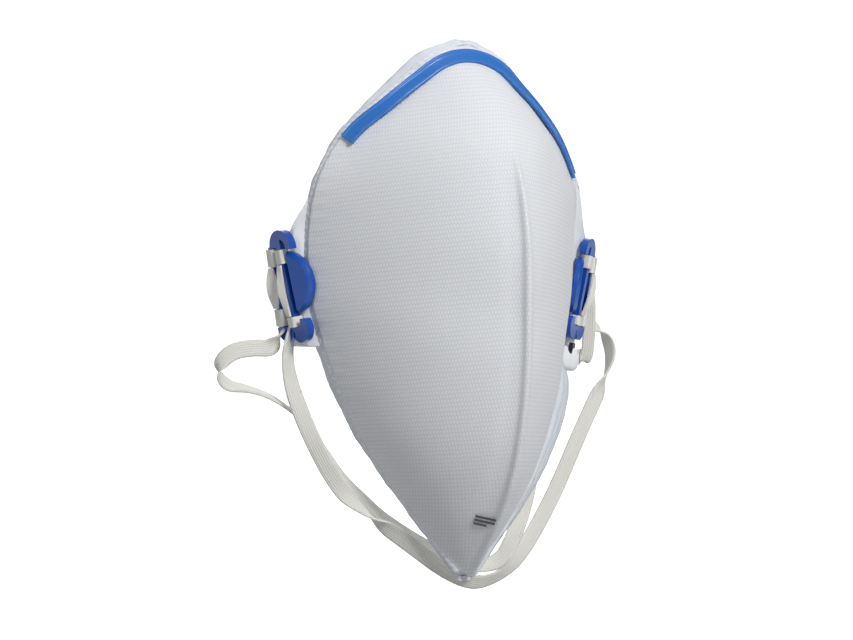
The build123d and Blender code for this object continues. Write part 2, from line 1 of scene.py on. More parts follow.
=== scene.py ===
import bpy
import math
import numpy as np
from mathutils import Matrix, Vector


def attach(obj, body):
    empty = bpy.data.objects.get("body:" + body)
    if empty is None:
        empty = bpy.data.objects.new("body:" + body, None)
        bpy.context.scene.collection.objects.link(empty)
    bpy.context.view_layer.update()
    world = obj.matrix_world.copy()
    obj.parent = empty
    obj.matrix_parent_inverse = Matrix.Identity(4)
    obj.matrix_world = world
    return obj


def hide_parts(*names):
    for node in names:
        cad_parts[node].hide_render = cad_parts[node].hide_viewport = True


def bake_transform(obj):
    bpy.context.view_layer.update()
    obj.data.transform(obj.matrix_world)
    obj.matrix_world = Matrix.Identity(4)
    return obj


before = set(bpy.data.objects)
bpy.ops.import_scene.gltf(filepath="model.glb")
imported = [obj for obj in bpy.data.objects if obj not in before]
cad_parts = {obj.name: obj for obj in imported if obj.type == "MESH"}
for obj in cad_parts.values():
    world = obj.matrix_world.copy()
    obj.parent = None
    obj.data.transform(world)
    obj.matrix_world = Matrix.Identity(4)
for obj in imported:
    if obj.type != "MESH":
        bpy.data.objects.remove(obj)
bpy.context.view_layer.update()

# lengths are millimetres in the frame, and MM turns them into Blender's metres
MM = 0.001
SIDES = ((-1, "left"), (1, "right"))


# ------------------------------------------------------------ mask body shape
def column(*values):
    """One number for each station."""
    return np.array(values, float)[:, None]


# every table has a row for each station, from the crown down to the chin
# front line: forward reach, height
FRONT = np.array([(3.0, 98.0), (6.0, 91.6), (14.5, 83.6), (25.5, 72.0), (35.0, 57.5), (40.2, 42.0),
                  (43.5, 23.0), (44.0, 2.0), (43.5, -20.0), (40.0, -41.0), (33.5, -59.0), (24.5, -74.0),
                  (13.5, -87.0), (4.0, -97.0)])
# welded side edge: half width, depth, height
EDGE = np.array([(5.0, -2.5, 97.0), (15.0, -3.8, 92.2), (25.6, -1.6, 83.5), (35.6, 0.4, 75.0),
                 (46.4, 5.0, 64.5), (55.2, 8.6, 48.0), (57.4, 12.8, 30.0), (56.6, 14.2, 9.0),
                 (52.0, 14.0, -9.0), (45.5, 12.8, -27.0), (37.2, 10.2, -45.5), (28.0, 5.6, -62.0),
                 (16.5, 1.0, -79.0), (3.4, -2.4, -96.0)])
# degrees by which the panel falls away from the front line, and by which it bulges at the side edge
CREASE = column(0, 0, 0, 2, 8, 17, 22, 25, 26, 26, 25, 24, 20, 12)
FULL = column(0, -5, -9, -8, 0, 8, 12, 13, 16, 22, 27, 27, 22, 12)
# flange outside the edge weld: degrees by which it splays out from straight back, and its width
FLANGE_OUT = {-1: column(52, 50, 44, 30, 10, 0, -5, -5, 10, 18, 20, 20, 30, 50),
              1: column(52, 42, 28, 24, 40, 64, 42, 42, 56, 88, 92, 86, 78, 66)}
FLANGE_W = {-1: column(3.2, 4.0, 4.2, 3.6, 2.6, 2.2, 2.2, 2.8, 4.4, 4.6, 4.0, 2.8, 1.8, 1.6),
            1: column(3.2, 3.6, 3.8, 4.0, 4.2, 5.4, 5.2, 5.0, 7.0, 12.2, 12.6, 10.4, 6.8, 3.4)}
LAST = len(FRONT) - 1
END = LAST - 0.001
# length of a panel curve's handles, as a part of its chord
HANDLE = 0.37


def spline(table, s):
    """Catmull-Rom through the rows of a table, at places s."""
    n = len(table) - 1
    s = np.clip(np.asarray(s, float), 0, n - 1e-9)
    i = s.astype(int)
    f = (s - i)[..., None]
    a, b = table[np.maximum(i - 1, 0)], table[i]
    c, d = table[np.minimum(i + 1, n)], table[np.minimum(i + 2, n)]
    return 0.5 * (2 * b + (c - a) * f + (2 * a - 5 * b + 4 * c - d) * f * f + (3 * b - a - 3 * c + d) * f**3)


def surf(s, t, side=1):
    """Points of the panel: s down the stations, t from 0 at the front line to 1 at the edge."""
    s, t = np.broadcast_arrays(np.asarray(s, float), np.asarray(t, float))
    p, z_front = np.moveaxis(spline(FRONT, s), -1, 0)
    w, d, z_edge = np.moveaxis(spline(EDGE, s), -1, 0)
    a0 = np.radians(spline(CREASE, s)[..., 0])
    a1 = np.arctan2(d + p, w) + np.radians(spline(FULL, s)[..., 0])
    h = HANDLE * np.hypot(w, d + p)
    q = 1 - t
    x = 3 * q * q * t * (h * np.cos(a0)) + 3 * q * t * t * (w - h * np.cos(a1)) + t**3 * w
    y = q**3 * -p + 3 * q * q * t * (-p + h * np.sin(a0)) + 3 * q * t * t * (d - h * np.sin(a1)) + t**3 * d
    z = z_front + (z_edge - z_front) * t * t * (3 - 2 * t)
    return np.stack([side * x, y, z], -1)


def unit(v):
    return v / np.maximum(np.linalg.norm(v, axis=-1, keepdims=True), 1e-9)


def smooth(x, a, b):
    """0 before a, 1 after b, and an even S between them."""
    t = np.clip((x - a) / (b - a), 0, 1)
    return t * t * (3 - 2 * t)


def run_along(p):
    """Distance along a line of points, from its first."""
    return np.concatenate([[0], np.cumsum(np.linalg.norm(np.diff(p, axis=0), axis=1))])


def square_off(v, power):
    """A sine or cosine made flatter, so that a round section turns squarer."""
    return np.sign(v) * np.abs(v) ** power


# ------------------------------------------------------------ meshes
def new_mesh(name, verts, faces, mat, uv=None, flat=False):
    me = bpy.data.meshes.new(name)
    me.from_pydata([tuple(float(c) * MM for c in v) for v in verts], [], faces)
    if uv is not None:
        layer = me.uv_layers.new(name="weave")
        idx = np.empty(len(me.loops), int)
        me.loops.foreach_get("vertex_index", idx)
        layer.data.foreach_set("uv", (np.asarray(uv)[idx]).astype(np.float32).ravel())
    me.validate()
    if not flat:
        me.polygons.foreach_set("use_smooth", [True] * len(me.polygons))
    ob = bpy.data.objects.new(name, me)
    bpy.context.scene.collection.objects.link(ob)
    me.materials.append(mat)
    return ob


def slab(name, outer, inner, mat, uv_map=None):
    """A closed sheet between two grids of points. outer is the side that faces out."""
    nk, nj = outer.shape[:2]
    verts = np.concatenate([outer.reshape(-1, 3), inner.reshape(-1, 3)])
    off = nk * nj
    faces = []
    for k in range(nk - 1):
        for j in range(nj - 1):
            a = k * nj + j
            faces.append((a, a + 1, a + nj + 1, a + nj))
            faces.append((off + a, off + a + nj, off + a + nj + 1, off + a + 1))
    rim = list(range(nj)) + [k * nj + nj - 1 for k in range(1, nk)]
    rim += [(nk - 1) * nj + j for j in range(nj - 2, -1, -1)] + [k * nj for k in range(nk - 2, 0, -1)]
    for a, b in zip(rim, rim[1:] + rim[:1]):
        faces.append((b, a, off + a, off + b))
    uv = None if uv_map is None else np.concatenate([uv_map.reshape(-1, 2)] * 2)
    return new_mesh(name, verts, faces, mat, uv)


def loft(name, rings, mat, uv=None):
    """A closed tube through rings of points, one ring per place."""
    n, m = rings.shape[:2]
    faces = []
    for i in range(n - 1):
        for j in range(m):
            k = (j + 1) % m
            faces.append((i * m + j, i * m + k, (i + 1) * m + k, (i + 1) * m + j))
    faces.append(tuple(range(m - 1, -1, -1)))
    faces.append(tuple((n - 1) * m + j for j in range(m)))
    return new_mesh(name, rings.reshape(-1, 3), faces, mat, uv)


# ------------------------------------------------------------ materials
def material(name, colour, rough, **more):
    m = bpy.data.materials.new(name)
    m.use_nodes = True
    b = m.node_tree.nodes["Principled BSDF"]
    b.inputs["Base Color"].default_value = (*colour, 1)
    b.inputs["Roughness"].default_value = rough
    for k, v in more.items():
        b.inputs[k.replace("_", " ")].default_value = v
    return m


def math_node(m, op, *terms):
    """The result of a maths node. Each term is a number or another node's output."""
    n = m.node_tree.nodes.new("ShaderNodeMath")
    n.operation = op
    for i, term in enumerate(terms):
        if isinstance(term, (int, float)):
            n.inputs[i].default_value = term
        else:
            m.node_tree.links.new(term, n.inputs[i])
    return n.outputs[0]


def noise(m, vector, scale, detail):
    n = m.node_tree.nodes.new("ShaderNodeTexNoise")
    n.inputs["Scale"].default_value = scale
    n.inputs["Detail"].default_value = detail
    m.node_tree.links.new(vector, n.inputs["Vector"])
    return n.outputs[0]


def cloth_place(m):
    """The cloth's own coordinates in millimetres: both at once, across, and down or along."""
    uv = m.node_tree.nodes.new("ShaderNodeUVMap")
    uv.uv_map = "weave"
    parts = m.node_tree.nodes.new("ShaderNodeSeparateXYZ")
    m.node_tree.links.new(uv.outputs[0], parts.inputs[0])
    return uv.outputs[0], parts.outputs[0], parts.outputs[1]


def tint(m, factor, groove_shade, pale):
    """Colours the material by a factor, from painted shade at 0 to pale at 1."""
    mix = m.node_tree.nodes.new("ShaderNodeMix")
    mix.data_type = "RGBA"
    mix.inputs["A"].default_value = (*groove_shade, 1)
    mix.inputs["B"].default_value = (*pale, 1)
    m.node_tree.links.new(factor, mix.inputs["Factor"])
    m.node_tree.links.new(mix.outputs["Result"], m.node_tree.nodes["Principled BSDF"].inputs["Base Color"])


def emboss(m, height, depth, strength):
    """Raises the material's surface by a height, depth millimetres at most."""
    bump = m.node_tree.nodes.new("ShaderNodeBump")
    bump.inputs["Strength"].default_value = strength
    bump.inputs["Distance"].default_value = depth * MM
    m.node_tree.links.new(height, bump.inputs["Height"])
    m.node_tree.links.new(bump.outputs[0], m.node_tree.nodes["Principled BSDF"].inputs["Normal"])


def weave(m, pale, groove_shade, row, col, depth, strength, slant):
    """Waffle of short raised dashes in staggered rows, with painted shade darkening the hollows between them. row
    and col are their spacing.
    """
    uv, across, down = cloth_place(m)
    wander = math_node(m, "MULTIPLY_ADD", noise(m, uv, 0.35, 3), 0.9, -0.45)
    down = math_node(m, "ADD", down, wander)
    down = math_node(m, "MULTIPLY_ADD", math_node(m, "ABSOLUTE", across), slant, down)
    rows = math_node(m, "DIVIDE", down, row)
    stagger = math_node(m, "MULTIPLY", math_node(m, "FLOOR", rows), 0.5)
    cols = math_node(m, "ADD", math_node(m, "DIVIDE", across, col), stagger)
    # 400 whole cells more keep the count positive
    in_col = math_node(m, "FRACT", math_node(m, "ADD", cols, 400.0))
    in_row = math_node(m, "FRACT", rows)
    hump_row = math_node(m, "POWER", math_node(m, "SINE", math_node(m, "MULTIPLY", in_row, math.pi)), 0.9)
    hump_col = math_node(m, "POWER", math_node(m, "SINE", math_node(m, "MULTIPLY", in_col, math.pi)), 1.5)
    dash = math_node(m, "MULTIPLY", hump_row, hump_col)
    height = math_node(m, "MULTIPLY_ADD", noise(m, uv, 3.2, 4), 0.35, dash)
    groove_shade_ramp = m.node_tree.nodes.new("ShaderNodeMapRange")
    groove_shade_ramp.inputs["From Min"].default_value = 0.15
    groove_shade_ramp.inputs["From Max"].default_value = 1.05
    m.node_tree.links.new(height, groove_shade_ramp.inputs["Value"])
    # painted shade: the lower the weave, the darker its colour
    tint(m, groove_shade_ramp.outputs[0], groove_shade, pale)
    emboss(m, height, depth, strength)


def grain(m, scale, depth, strength):
    """Fine surface grain."""
    place = m.node_tree.nodes.new("ShaderNodeTexCoord")
    emboss(m, noise(m, place.outputs["Object"], scale, 5), depth, strength)


def webbing(m, pale, groove_shade):
    """Flat elastic: fine ribs along its length, faint cross ribs, with painted shade darkening the grooves between
    them.
    """
    rib, pick = 0.85, 0.7
    _, across, along = cloth_place(m)
    ribs = math_node(m, "SINE", math_node(m, "MULTIPLY", across, 2 * math.pi / rib))
    picks = math_node(m, "SINE", math_node(m, "MULTIPLY", along, 2 * math.pi / pick))
    height = math_node(m, "MULTIPLY_ADD", picks, 0.35, ribs)
    # painted shade: the grooves between the ribs are coloured darker
    tint(m, math_node(m, "MULTIPLY_ADD", height, 0.3, 0.6), groove_shade, pale)
    emboss(m, height, 0.10, 0.5)


FABRIC = material("outer_fabric", (0.78, 0.81, 0.86), 0.82, Sheen_Weight=0.15)
# the second colour is painted shade for the hollows of the weave
weave(FABRIC, (0.84, 0.85, 0.87), (0.71, 0.725, 0.755),
      row=1.55, col=1.14, depth=0.09, strength=0.6, slant=-0.09)
FILTER = material("filter", (0.85, 0.86, 0.88), 0.95)
LINING = material("lining", (0.84, 0.855, 0.88), 0.9)
grain(LINING, 900, 0.12, 0.5)
WELD = material("weld", (0.74, 0.765, 0.81), 0.75)
grain(WELD, 1400, 0.12, 0.6)
# painted shade: the flange is the panels' own fabric, coloured a darker, bluer grey than they are
SHADED_FLANGE = material("flange", (0.70, 0.73, 0.78), 0.85)
grain(SHADED_FLANGE, 1100, 0.1, 0.5)
WING = material("wing", (0.86, 0.87, 0.88), 0.6)
grain(WING, 700, 0.08, 0.3)
BLUE = material("buckle_blue", (0.006, 0.078, 0.40), 0.34, Specular_IOR_Level=0.35)
CLIP = material("clip_blue", (0.022, 0.17, 0.56), 0.32, Coat_Weight=0.15)
STRAP = material("strap", (0.78, 0.76, 0.70), 0.8, Sheen_Weight=0.1)
# the second colour is painted shade for the strap's rib grooves
webbing(STRAP, (0.80, 0.785, 0.735), (0.69, 0.675, 0.62))
PLAIN_STRAP = material("strap_plain", (0.82, 0.80, 0.75), 0.8)
grain(PLAIN_STRAP, 1500, 0.12, 0.6)
INK = material("print", (0.02, 0.022, 0.03), 0.6)
BLACK = material("crimp", (0.012, 0.012, 0.013), 0.3)

# ------------------------------------------------------------ fabric layers
NS, NT = ((230, 84))


def body_grid():
    """Points of both panels, left to right in each row, with their s and t."""
    s = np.linspace(0, END, NS)
    t = np.linspace(0, 1, NT) ** 1.15
    right = surf(s[:, None], t[None, :], 1)
    left = right.copy()
    left[..., 0] *= -1
    grid = np.concatenate([left[:, :0:-1], right], axis=1)
    ss = np.repeat(s[:, None], grid.shape[1], 1)
    tt = np.concatenate([t[:0:-1], t])[None, :].repeat(NS, 0)
    return grid, ss, tt


def normals(g):
    return unit(np.cross(np.gradient(g, axis=0), np.gradient(g, axis=1)))


def relief(g, ss, tt):
    """Pinched front crease and the soft unevenness of pressed fabric."""
    x, z = g[..., 0], g[..., 2]
    r = np.abs(x)
    crisp = smooth(ss, 3.7, 5.6) * (1 - 0.5 * smooth(ss, 12.2, 13))
    crease = crisp * (1.9 * np.exp(-(r / 1.15) ** 2) - 0.4 * np.exp(-((r - 4.6) / 2.6) ** 2))
    soft = 0.30 * np.sin(z * 0.071 + x * 0.05 + 0.6) * np.sin(x * 0.083 + z * 0.023 + 1.1) \
        + 0.14 * np.sin(z * 0.19 - x * 0.11) * np.sin(x * 0.17 + 0.4)
    # the unevenness dies out at the weld
    soft = soft * (1 - smooth(tt, 0.9, 1.0))
    # a faint hollow under the nose strip and puckers running in from the weld
    hollow = np.exp(-((tt - 0.86) / 0.07) ** 2) * (1 - smooth(ss, 3.8, 5.2)) * smooth(ss, 0.8, 1.8)
    pucker = 0.10 * np.sin(z * 1.35 + 0.7 * np.sin(z * 0.23)) * smooth(tt, 0.86, 0.985)
    return g + normals(g) * (crease + soft - 0.35 * hollow + pucker)[..., None]


GRID = relief(*body_grid())
NRM = normals(GRID)


def weave_map():
    """Places of the weave on both panels: across from the front line, and down in level rows."""
    steps = np.linalg.norm(np.diff(GRID, axis=1), axis=2)
    across = np.concatenate([np.zeros((NS, 1)), np.cumsum(steps, axis=1)], 1)
    across -= across[:, [NT - 1]]
    return np.stack([across, -GRID[..., 2]], -1)


UV = weave_map()


def layer(name, d0, d1, mat, *swap):
    """One layer of both panels, from d0 to d1 under the outer face."""
    ob = slab(name, GRID - NRM * d0, GRID - NRM * d1, mat, UV)
    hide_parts(*swap)
    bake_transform(ob)
    return ob


outer = layer("mask_outer", 0.0, 0.6, FABRIC, "left_outer_shell", "right_outer_shell", "front_weld")
layer("mask_filter", 0.66, 1.66, FILTER, "left_filter_layer", "right_filter_layer")
lining = layer("mask_lining", 1.72, 2.12, LINING, "left_inner_lining", "right_inner_lining")


# ------------------------------------------------------------ edge weld and flange
def edge_line(side, count):
    """Even places along the welded edge, carried on to the middle of the crown and of the chin.

    Gives each place's station, distance along, point and directions: along the edge, out of the
    panel's rim, out of its face, and the flange's own way.
    """
    s = np.linspace(0, END, 2000)
    far = run_along(surf(s, np.ones_like(s), side))
    run = np.linspace(0, far[-1], count)
    s = np.interp(run, far, s)
    p = surf(s, np.ones_like(s), side)
    tan = unit(np.gradient(p, axis=0))
    inward = unit(surf(s, np.full_like(s, 0.94), side) - p)
    n = unit(np.cross(inward, tan)) * side
    n = n * np.sign(np.sum(n * np.array([side, -0.8, 0.0]), -1, keepdims=True))
    out = unit(np.stack([-tan[:, 2] * side, 0 * s, tan[:, 0] * side], -1))
    out = out * np.where(out[:, [0]] * side < 0, -1, 1)
    ang = np.radians(spline(FLANGE_OUT[side], s))
    way = unit(out * np.sin(ang) + np.array([0, 1.0, 0]) * np.cos(ang))

    step = run[1] - run[0]
    n_top = max(int(abs(p[0, 0]) / step), 2)
    n_low = max(int(abs(p[-1, 0]) / step), 2)
    # from 0 at the middle to 1 at the line's own end
    q_top = np.linspace(0, 1, n_top, endpoint=False)[:, None]
    q_low = np.linspace(0, 1, n_low, endpoint=False)[::-1, None]

    def to_middle(a):
        """The ends carried on, with the sideways part running out at the middle."""
        top, low = (np.hstack([q, q * 0 + 1, q * 0 + 1]) for q in (q_top, q_low))
        return np.concatenate([a[:1] * top, a, a[-1:] * low])

    s = np.concatenate([np.repeat(s[:1], n_top), s, np.repeat(s[-1:], n_low)])
    p = to_middle(p)
    p[:n_top, 2:] += 1.5 * (1 - q_top**2)
    p[-n_low:, 2:] -= 1.0 * (1 - q_low**2)
    level = np.array([side, 0, 0])
    tan = np.concatenate([level * (1 - q_top) + tan[:1] * q_top, tan, -level * (1 - q_low) + tan[-1:] * q_low])
    run = np.arange(len(s)) * step
    return s, run, p, unit(tan), -unit(to_middle(inward)), unit(to_middle(n)), unit(to_middle(way))


def weld_band(side, word):
    """The pressed band of the edge weld, with little scallops."""
    scallop = 2.55
    _, run, p, _, t_out, n, way = edge_line(side, 900)
    across = unit(t_out + way)
    wave = 0.5 + 0.5 * np.sin(run * 2 * np.pi / scallop)
    half_w = (1.15 + 0.22 * wave)[:, None, None]
    half_t = (0.78 + 0.20 * wave)[:, None, None]
    middle = p + across * 1.05 - n * 0.95
    a = np.linspace(0, 2 * np.pi, 14, endpoint=False)[None, :, None]
    ca, sa = square_off(np.cos(a), 0.7), square_off(np.sin(a), 0.8)
    rings = middle[:, None] + across[:, None] * half_w * ca + n[:, None] * half_t * sa
    ob = loft(word + "_weld_band", rings, WELD)
    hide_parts(word + "_edge_weld")
    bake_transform(ob)


# the flange's three sheets: how far each lies off the weld's middle, and its part of the whole width
SHEETS = ((0.05, 0.72), (-0.42, 0.88), (-0.9, 1.0))
SHEET_T = 0.34


def flange(side, word):
    """Thin sheets outside the weld, which part a little at the rim."""
    s, run, p, tan, t_out, n, way = edge_line(side, 460)
    across = unit(t_out + way)
    w = spline(FLANGE_W[side], s)
    fn = unit(np.cross(way, tan))
    fn = fn * np.sign(np.sum(fn * n, -1, keepdims=True))
    base = p + across * 1.9 - n * 0.95
    for i, (lift, part) in enumerate(SHEETS):
        rows = []
        for q in np.linspace(0, 1, 9):
            wav = 0.22 * np.sin(run * 0.33 + i) * q + 0.10 * np.sin(run * 0.9 + 2 * i) * q
            rows.append(base + unit(across * (1 - q) + way * q) * w * q * part
                        + fn * (lift * (0.5 + q) + wav[:, None]))
        top = np.stack(rows, 1)
        ob = slab("%s_flange_sheet_%d" % (word, i + 1), top, top - fn[:, None] * SHEET_T, SHADED_FLANGE)
        if i == 0:
            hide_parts(word + "_seal_flange")
        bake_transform(ob)


for side, word in SIDES:
    weld_band(side, word)
    flange(side, word)


# ------------------------------------------------------------ nose strip
CLIP_IN = 3.3               # from the side edge to the strip's middle
CLIP_LIFT = 0.45            # off the panels
CLIP_TOP = (0.0, 93.6)      # across and height where the strip crosses the front line
CLIP_TURN = (6.5, 92.6)     # and where it turns down
# cross-section of the strip, across then out: flat back, two raised rims
HALF_PROFILE = [(2.8, 0.0), (2.8, 0.95), (2.68, 1.22), (2.4, 1.35), (2.05, 1.33), (1.75, 1.1),
                (1.55, 0.86), (1.2, 0.80)]
PROFILE = [(-u, v) for u, v in HALF_PROFILE] + [(0, 0.84)] + HALF_PROFILE[::-1]


def panel_normal(s, t, side):
    e = 0.02
    a = surf(s, min(t + e, 1), side) - surf(s, max(t - e, 0.001), side)
    b = surf(min(s + 0.05, END), t, side) - surf(max(s - 0.05, 0), t, side)
    return unit(np.cross(b, a) * side)


def strip_place(s, side):
    """The strip's middle at a station, with the panel's normal there."""
    along = unit(surf(s + 0.1, 1.0, side) - surf(s - 0.1, 1.0, side))
    ts = np.linspace(1, 0.02, 300)
    pts = surf(np.full_like(ts, s), ts, side)
    inwards = unit(pts[12] - pts[0])
    need = CLIP_IN / max(float(np.linalg.norm(np.cross(along, inwards))), 0.45)
    t = float(np.interp(need, run_along(pts), ts))
    return surf(s, t, side), panel_normal(s, max(t, 0.03), side)


def at_xz(place, side):
    """The panel's point nearest to an across and height, with its normal."""
    s, t = np.meshgrid(np.linspace(0.02, 2.5, 200), np.linspace(0.001, 1, 200), indexing="ij")
    p = surf(s, t, side)
    i = np.unravel_index(np.argmin(np.abs(p[..., 0] * side - place[0]) + np.abs(p[..., 2] - place[1])), s.shape)
    return p[i], panel_normal(float(s[i]), max(float(t[i]), 0.03), side)


def strip_line():
    """The strip's middle line from its left end to its right end, with the normals."""
    p_top, n_top = at_xz(CLIP_TOP, 1)
    level = np.array([0, 1, 1])
    places = [strip_place(s, -1) for s in np.arange(4.25, 1.2, -0.25)]
    places += [at_xz(CLIP_TURN, -1), (p_top * level, unit(n_top * level)), at_xz(CLIP_TURN, 1)]
    places += [strip_place(s, 1) for s in np.arange(1.25, 4.76, 0.25)]
    pts, nms = (np.array(a) for a in zip(*places))
    for _ in range(4):
        nms[1:-1] = unit(nms[:-2] + 2 * nms[1:-1] + nms[2:])
    pts[1:-1] = 0.25 * pts[:-2] + 0.5 * pts[1:-1] + 0.25 * pts[2:]
    fine = np.linspace(0, len(pts) - 1.001, 300)
    return spline(pts, fine), unit(spline(nms, fine))


def nose_strip():
    pts, nms = strip_line()
    tan = unit(np.gradient(pts, axis=0))
    nms = unit(nms - tan * np.sum(nms * tan, -1, keepdims=True))
    across = np.cross(tan, nms)
    rings = np.stack([pts + across * u + nms * (v + CLIP_LIFT) for u, v in PROFILE], 1)
    ob = loft("nose_strip", rings, CLIP)
    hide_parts("nose_clip")
    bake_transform(ob)


nose_strip()

# ------------------------------------------------------------ straps
STRAP_W, STRAP_T = 6.3, 0.95
TAIL_W, TAIL_T = 5.2, 0.9
# each strap's route, and the way its width points along it
HEAD_ROUTE = [(-61.2, 26.6, -6.8), (-64.0, 26.3, -13.8), (-72.0, 27.6, -13.2), (-80.3, 29.6, -14.6),
              (-84.9, 31.0, -20.6), (-82.0, 30.5, -27.0), (-74.0, 29.0, -28.0), (-65.5, 27.2, -31.0),
              (-54.6, 25.0, -39.0), (-46.0, 24.0, -49.4), (-37.3, 22.6, -63.2), (-26.8, 21.2, -74.8),
              (-16.0, 19.2, -83.0), (-6.0, 16.6, -89.5), (4.0, 13.2, -94.4), (13.6, 9.2, -96.8),
              (20.4, 6.6, -94.6), (25.6, 6.8, -86.5), (33.0, 10.4, -75.5), (38.8, 15.0, -63.0),
              (45.4, 18.6, -51.0), (47.6, 21.0, -40.0), (49.4, 23.4, -31.0), (51.6, 24.8, -23.4),
              (55.6, 23.8, -18.6)]
HEAD_WIDE = [(.1, -.7, .5), (0, .2, 1), (0, .3, 1), (.1, .5, .85), (.35, .8, .35), (.5, .87, .1), (.5, .87, 0),
             (.5, .87, 0), (.4, .9, .15), (.4, .85, .3), (.6, .6, .5), (.6, .55, .55), (.5, .5, .7), (.4, .5, .75),
             (.2, .5, .8), (-.1, .6, .7), (-.3, .5, .4), (-.7, .3, .2), (-.8, .4, .3), (-.8, .45, .3),
             (-.75, .5, .3), (-.65, .6, .3), (-.55, .6, .4), (-.5, .6, .5), (-.4, .6, .5)]
NECK_ROUTE = [(-58.8, 22.8, -6.2), (-61.8, 22.0, -14.2), (-60.6, 20.4, -26.5), (-57.2, 18.6, -37.5),
              (-53.0, 17.2, -47.6), (-48.0, 16.1, -57.6), (-41.0, 15.0, -68.0), (-29.0, 13.6, -77.6),
              (-15.8, 11.9, -87.0), (-4.2, 9.4, -96.4), (7.0, 6.0, -102.4), (18.0, 8.0, -101.8),
              (27.6, 10.2, -97.4), (37.2, 13.0, -88.6), (48.0, 16.0, -75.8), (56.4, 18.1, -63.6),
              (64.6, 20.2, -50.4), (74.2, 22.4, -36.2), (81.8, 24.2, -25.4), (85.0, 25.6, -15.6),
              (81.5, 28.4, -7.0), (74.8, 31.4, -4.2)]
NECK_WIDE = [(.5, .45, .1), (.6, .3, .1), (.7, 0, .1), (.8, -.25, .25), (.8, -.45, .35), (.7, -.2, .4),
             (.35, .8, .3), (-.4, .5, -.6), (-.5, .3, -.8), (-.5, .3, -.8), (-.2, .4, -.9), (.2, .5, -.8),
             (.4, -.1, -.8), (.6, -.4, -.65), (.7, -.45, -.5), (.72, -.45, -.5), (.74, -.43, -.5), (.74, -.4, -.5),
             (.6, -.1, -.3), (.25, .8, -.1), (-.3, .8, .5), (-.3, .5, .8)]
# the right strap's free tail leaves the upper turn, hangs outside the buckle and turns up at its end
TAIL_ROUTE = [(70.5, 24.2, 16.5), (71.6, 24.7, 14.0), (73.9, 25.9, 10.0), (74.6, 26.7, 5.0), (74.7, 27.0, -2.0),
              (74.5, 27.1, -9.0), (74.2, 27.2, -15.0), (73.6, 27.6, -18.9), (72.6, 28.9, -20.6),
              (71.9, 30.0, -19.0), (71.6, 30.2, -15.6)]
TAIL_WIDE = [(.777, .629, 0), (.777, .629, 0), (.94, .1, 0), (.866, -.5, 0), (.866, -.5, 0), (.866, -.5, 0),
             (.866, -.5, 0), (.85, -.5, .1), (.8, -.45, .3)]


def route_line(route, count):
    """Points along the curve that follows the route, evenly spaced, and its length."""
    cu = bpy.data.curves.new("line", "CURVE")
    cu.dimensions = "3D"
    sp = cu.splines.new("NURBS")
    sp.points.add(len(route) - 1)
    for q, r in zip(sp.points, route):
        q.co = (r[0] * MM, r[1] * MM, r[2] * MM, 1)
    sp.order_u = 3
    sp.use_endpoint_u = True
    sp.resolution_u = 24
    ob = bpy.data.objects.new("line", cu)
    bpy.context.scene.collection.objects.link(ob)
    bpy.context.view_layer.update()
    me = bpy.data.meshes.new_from_object(ob)
    p = np.array([v.co[:] for v in me.vertices]) / MM
    bpy.data.objects.remove(ob)
    bpy.data.curves.remove(cu)
    bpy.data.meshes.remove(me)
    acc = run_along(p)
    keep = np.concatenate([[True], np.diff(acc) > 1e-6])
    p, acc = p[keep], acc[keep]
    want = np.linspace(0, acc[-1], count)
    return np.stack([np.interp(want, acc, p[:, i]) for i in range(3)], 1), acc[-1]


def strap_section(width, thick):
    """A flat strap's outline with eased edges: across, then out."""
    hw, ht = width / 2, thick / 2
    half = [(u * (hw - 0.25), ht) for u in (-1, -0.6, -0.2, 0.2, 0.6, 1)]
    half += [(hw, ht * 0.35), (hw, -ht * 0.35)]
    return half + [(-u, -v) for u, v in half]


def ribbon(name, line, wides, width, thick, mat):
    """A flat strap along a line; wides are the ways its width points, spread evenly along it."""
    wide = unit(spline(np.array(wides, float), np.linspace(0, len(wides) - 1.001, len(line))))
    tan = unit(np.gradient(line, axis=0))
    w = unit(wide - tan * np.sum(wide * tan, -1, keepdims=True))
    n = np.cross(tan, w)
    section = strap_section(width, thick)
    rings = np.stack([line + w * a + n * b for a, b in section], 1)
    acc = run_along(line)
    uv = np.stack([np.stack([np.full(len(line), a), acc], 1) for a, _ in section], 1).reshape(-1, 2)
    return loft(name, rings, mat, uv=uv)


def strap(name, route, wides, node):
    line, length = route_line(route, 260)
    ob = ribbon(name, line, wides, STRAP_W, STRAP_T, STRAP)
    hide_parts(node)
    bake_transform(ob)


strap("head_strap_elastic", HEAD_ROUTE, HEAD_WIDE, "head_strap")
strap("neck_strap_elastic", NECK_ROUTE, NECK_WIDE, "neck_strap")
tail = ribbon("strap_tail", route_line(TAIL_ROUTE, 90)[0], TAIL_WIDE, TAIL_W, TAIL_T, STRAP)
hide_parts("right_strap_tail")
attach(tail, "right_half")

# ------------------------------------------------------------ side wings
# middle of each buckle's frame, the way it faces, and its lean outwards and forwards, in degrees
HOLD = {-1: (-61.9, 18.8, 10.0), 1: (63.7, 16.7, 10.0)}
HOLD_AZ = {-1: 78.0, 1: 39.0}
SPREAD, NOD = 9.7, 2.5
# outer outline of each wing above its buckle, from its tip: height, then across and depth
WING_TOP = {-1: np.array([(40.0, -57.6, 13.2), (36.0, -59.3, 14.6), (31.5, -61.3, 17.0), (28.5, -61.6, 18.6),
                          (26.0, -62.4, 23.6)]),
            1: np.array([(52.0, 55.4, 9.6), (46.0, 59.0, 10.8), (42.0, 61.0, 12.8), (36.0, 63.4, 15.4),
                         (31.5, 66.4, 18.8), (27.0, 71.6, 24.2)])}
# back edge behind the buckle, from the frame's middle, and height of the lower end
WING_BACK = {-1: -7.4, 1: -12.0}
WING_LOW = {-1: -13.0, 1: -20.0}


